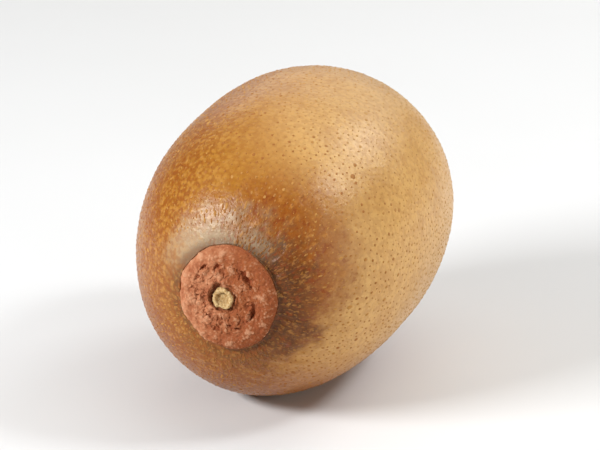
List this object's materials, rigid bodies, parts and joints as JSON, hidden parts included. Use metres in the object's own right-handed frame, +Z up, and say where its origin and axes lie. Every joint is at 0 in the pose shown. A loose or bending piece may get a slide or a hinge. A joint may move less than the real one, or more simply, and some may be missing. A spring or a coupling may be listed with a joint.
{
  "type": "golden kiwi fruit",
  "caption": "Whole golden kiwi fruit lying on its side: smooth bronze egg-shaped berry with a corky stem-end collar and a dried style tuft.",
  "frame": {"origin": "on the resting plane, under the middle of the fruit's box", "axes": "+Z up, +Y along the fruit's long axis from the stem end to the blossom end, +X to the right seen from the stem end"},
  "size_m": [0.0502, 0.0722, 0.0524],
  "materials": {
    "skin": "thin papery golden-bronze skin with fine brown dots, satin",
    "calyx_cork": "dry reddish-brown cork, granular, matt",
    "stalk_pith": "dry pale broken stalk fibre, matt",
    "dried_style": "dried dark brown flower styles, matt"
  },
  "bodies": {
    "root": {"fruit_body": "skin", "calyx_collar": "calyx_cork", "stalk_stub": "stalk_pith", "style_tuft": "dried_style"}
  },
  "joints": []
}
